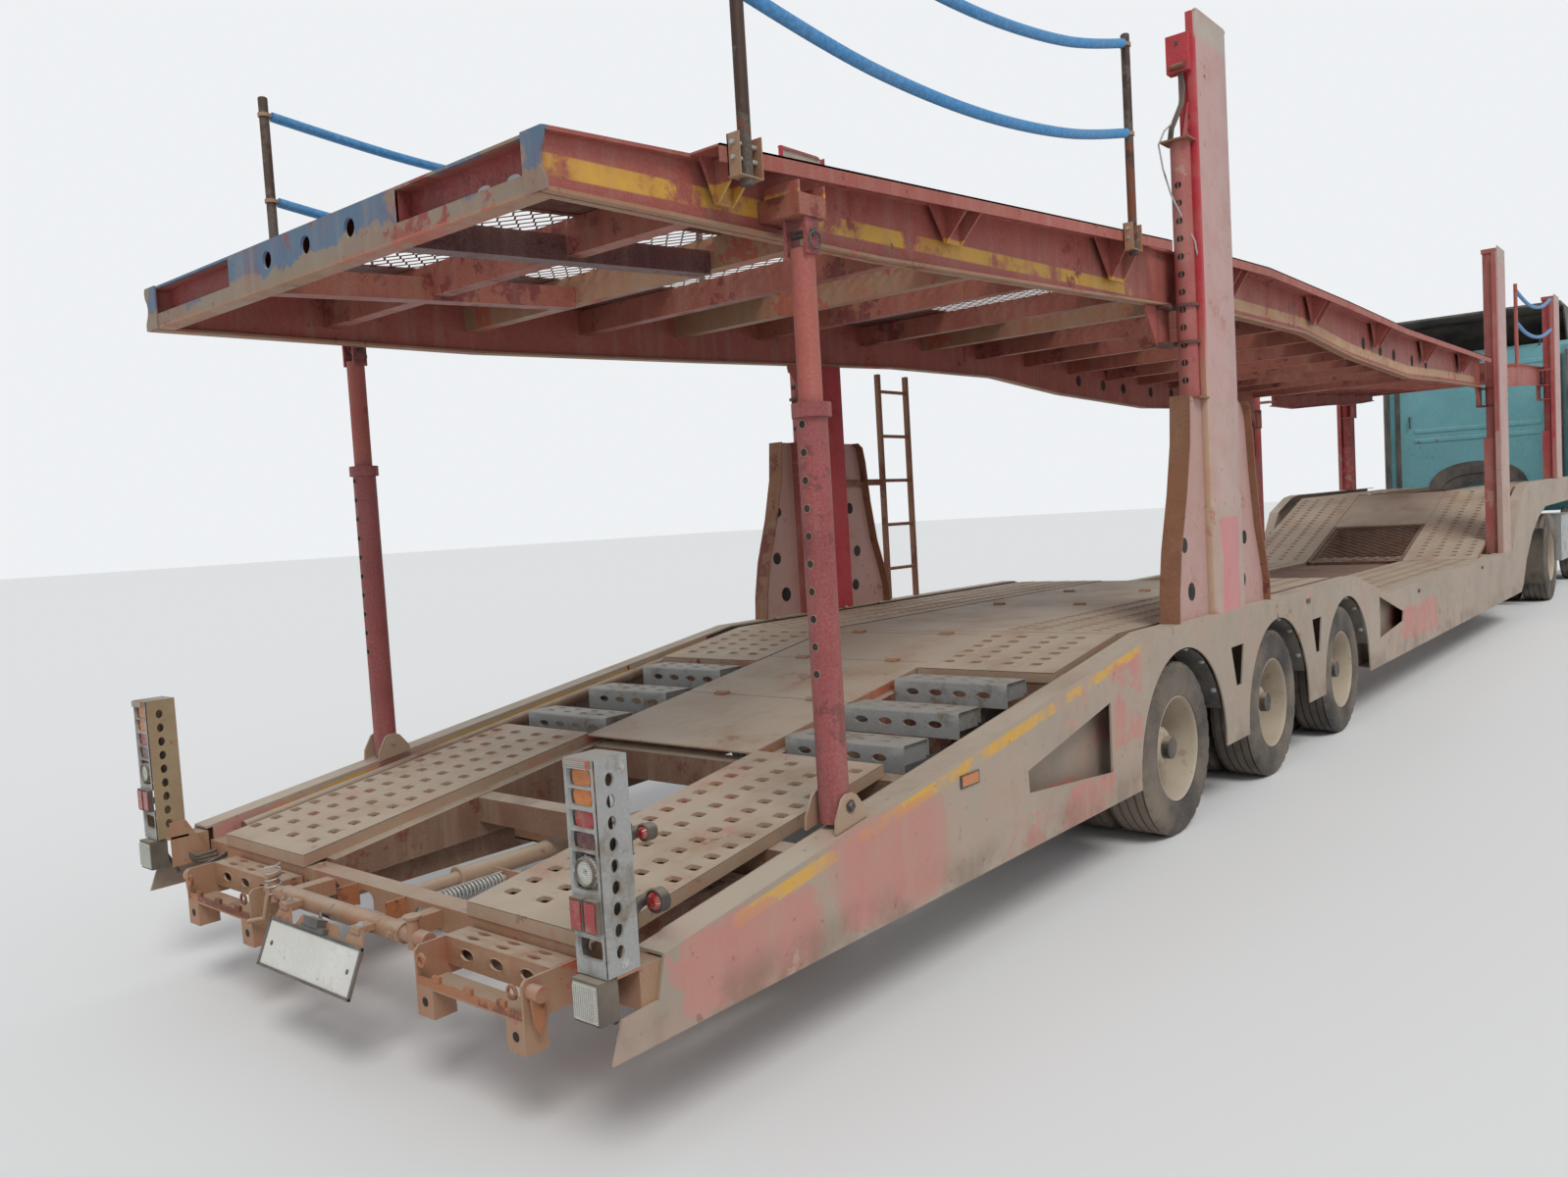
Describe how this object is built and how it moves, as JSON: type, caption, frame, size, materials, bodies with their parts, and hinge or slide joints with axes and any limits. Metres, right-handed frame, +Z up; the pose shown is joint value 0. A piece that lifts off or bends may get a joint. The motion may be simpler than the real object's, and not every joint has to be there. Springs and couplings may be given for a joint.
{
  "type": "articulated car transporter truck",
  "caption": "Articulated car transporter: two-axle cab-over tractor and low two-deck trailer with posts, lifting decks, twin-tyred wheels and pull-out ramps.",
  "frame": {"origin": "on the ground, mid-length and mid-width", "axes": "+X forward towards the cab, +Y to the left, +Z up"},
  "size_m": [20, 2.512, 3.8699],
  "materials": {
    "trailer_paint": "dusty faded paint",
    "chassis_paint": "dusty brown red paint",
    "post_paint": "worn red paint",
    "deck_paint": "worn red paint with dust",
    "rusty_steel": "rusted paint",
    "track_steel": "dusty pressed steel",
    "pink_plate": "worn pink red paint",
    "expanded_metal": "expanded metal",
    "galvanised_steel": "dull zinc",
    "bare_rusty_tube": "dark rusty tube",
    "lamp_lens": "lens",
    "plate_white": "blank plate",
    "axle_black": "dusty black",
    "greasy_cast_iron": "greased",
    "engine_iron": "dull",
    "tank_aluminium": "satin",
    "dark_plastic": "matt",
    "black_rubber": "matt",
    "cab_teal": "gloss",
    "clear_glass": "clear",
    "grey_fabric": "woven",
    "blue_hose": "smooth hose",
    "tyre_rubber": "dusty"
  },
  "bodies": {
    "trailer": {"side_panels": "trailer_paint", "chassis_frame": "chassis_paint", "rear_crossbeam": "rusty_steel", "track_plates": "track_steel", "centre_plates": "pink_plate", "mesh_floor": "expanded_metal", "step_modules": "galvanised_steel", "main_posts": "post_paint", "forward_posts": "post_paint", "prop_sleeves": "post_paint", "lamp_columns": "galvanised_steel", "rear_lamps": "lamp_lens", "number_plate": "plate_white", "trailer_axles": "axle_black", "landing_legs": "axle_black"},
    "upper_deck": {"upper_deck_frame": "deck_paint", "upper_deck_wings": "deck_paint", "upper_deck_mesh": "expanded_metal", "guard_posts": "bare_rusty_tube", "prop_tubes": "post_paint", "guard_rope_right_high": "blue_hose", "guard_rope_right_low": "blue_hose", "guard_rope_left_high": "blue_hose", "guard_rope_left_low": "blue_hose"},
    "head_deck": {"head_deck_frame": "deck_paint", "head_deck_floor": "expanded_metal", "head_rope_right_high": "blue_hose", "head_rope_right_low": "blue_hose", "head_rope_left_high": "blue_hose", "head_rope_left_low": "blue_hose"},
    "tractor": {"tractor_frame": "axle_black", "fifth_wheel": "greasy_cast_iron", "tractor_axles": "axle_black", "engine_block": "engine_iron", "side_tanks": "tank_aluminium", "front_bumper": "dark_plastic", "mud_flaps": "black_rubber"},
    "cab": {"cab_shell": "cab_teal", "cab_glass": "clear_glass", "cab_interior": "grey_fabric", "cab_fairings": "dark_plastic"},
    "trailer_wheels_1_right": {"trailer_wheels_1_right": "tyre_rubber"},
    "trailer_wheels_1_left": {"trailer_wheels_1_left": "tyre_rubber"},
    "trailer_wheels_2_right": {"trailer_wheels_2_right": "tyre_rubber"},
    "trailer_wheels_2_left": {"trailer_wheels_2_left": "tyre_rubber"},
    "trailer_wheels_3_right": {"trailer_wheels_3_right": "tyre_rubber"},
    "trailer_wheels_3_left": {"trailer_wheels_3_left": "tyre_rubber"},
    "ramp_right": {"ramp_right": "rusty_steel"},
    "drive_wheels_right": {"drive_wheels_right": "tyre_rubber"},
    "knuckle_right": {"knuckle_right": "axle_black"},
    "steer_wheel_right": {"steer_wheel_right": "tyre_rubber"},
    "cab_door_right": {"cab_door_right": "cab_teal"},
    "ramp_left": {"ramp_left": "rusty_steel"},
    "drive_wheels_left": {"drive_wheels_left": "tyre_rubber"},
    "knuckle_left": {"knuckle_left": "axle_black"},
    "steer_wheel_left": {"steer_wheel_left": "tyre_rubber"},
    "cab_door_left": {"cab_door_left": "cab_teal"}
  },
  "joints": [
    {"name": "trailer_wheels_1_right_spin", "type": "hinge", "parent": "trailer", "child": "trailer_wheels_1_right", "pos_m": [-6.51, -1.106, 0.388], "axis": [0, 1, 0], "continuous": true},
    {"name": "trailer_wheels_1_left_spin", "type": "hinge", "parent": "trailer", "child": "trailer_wheels_1_left", "pos_m": [-6.51, 1.106, 0.388], "axis": [0, 1, 0], "continuous": true},
    {"name": "trailer_wheels_2_right_spin", "type": "hinge", "parent": "trailer", "child": "trailer_wheels_2_right", "pos_m": [-5.2, -1.106, 0.388], "axis": [0, 1, 0], "continuous": true},
    {"name": "trailer_wheels_2_left_spin", "type": "hinge", "parent": "trailer", "child": "trailer_wheels_2_left", "pos_m": [-5.2, 1.106, 0.388], "axis": [0, 1, 0], "continuous": true},
    {"name": "trailer_wheels_3_right_spin", "type": "hinge", "parent": "trailer", "child": "trailer_wheels_3_right", "pos_m": [-3.89, -1.106, 0.388], "axis": [0, 1, 0], "continuous": true},
    {"name": "trailer_wheels_3_left_spin", "type": "hinge", "parent": "trailer", "child": "trailer_wheels_3_left", "pos_m": [-3.89, 1.106, 0.388], "axis": [0, 1, 0], "continuous": true},
    {"name": "kingpin", "type": "hinge", "parent": "trailer", "child": "tractor", "pos_m": [5.79, 0, 1.152], "axis": [0, 0, 1], "range_deg": [-80, 80]},
    {"name": "drive_wheels_right_spin", "type": "hinge", "parent": "tractor", "child": "drive_wheels_right", "pos_m": [5.19, -1.073, 0.52], "axis": [0, 1, 0], "continuous": true},
    {"name": "drive_wheels_left_spin", "type": "hinge", "parent": "tractor", "child": "drive_wheels_left", "pos_m": [5.19, 1.073, 0.52], "axis": [0, 1, 0], "continuous": true},
    {"name": "steering_right", "type": "hinge", "parent": "tractor", "child": "knuckle_right", "pos_m": [8.74, -0.9, 0.52], "axis": [0, 0, 1], "range_deg": [-35, 35]},
    {"name": "steer_wheel_right_spin", "type": "hinge", "parent": "knuckle_right", "child": "steer_wheel_right", "pos_m": [8.74, -1.068, 0.52], "axis": [0, 1, 0], "continuous": true},
    {"name": "steering_left", "type": "hinge", "parent": "tractor", "child": "knuckle_left", "pos_m": [8.74, 0.9, 0.52], "axis": [0, 0, 1], "range_deg": [-35, 35]},
    {"name": "steer_wheel_left_spin", "type": "hinge", "parent": "knuckle_left", "child": "steer_wheel_left", "pos_m": [8.74, 1.068, 0.52], "axis": [0, 1, 0], "continuous": true},
    {"name": "cab_tilt", "type": "hinge", "parent": "tractor", "child": "cab", "pos_m": [9.88, 0, 1], "axis": [0, 1, 0], "range_deg": [0, 55]},
    {"name": "cab_door_right_swing", "type": "hinge", "parent": "cab", "child": "cab_door_right", "pos_m": [9.827, -1.15, 2], "axis": [0, 0, 1], "range_deg": [0, 65]},
    {"name": "cab_door_left_swing", "type": "hinge", "parent": "cab", "child": "cab_door_left", "pos_m": [9.827, 1.15, 2], "axis": [0, 0, -1], "range_deg": [0, 65]},
    {"name": "upper_deck_lift", "type": "slide", "parent": "trailer", "child": "upper_deck", "axis": [0, 0, 1], "range_m": [-0.15, 0.7]},
    {"name": "head_deck_lift", "type": "slide", "parent": "trailer", "child": "head_deck", "axis": [0, 0, 1], "range_m": [-0.3, 0.6]},
    {"name": "ramp_right_pull", "type": "slide", "parent": "trailer", "child": "ramp_right", "axis": [-1, 0, 0], "range_m": [0, 1.1]},
    {"name": "ramp_left_pull", "type": "slide", "parent": "trailer", "child": "ramp_left", "axis": [-1, 0, 0], "range_m": [0, 1.1]}
  ],
  "couplings": [
    {"joint": "steering_right", "follows": "steering_left", "ratio": 1}
  ]
}
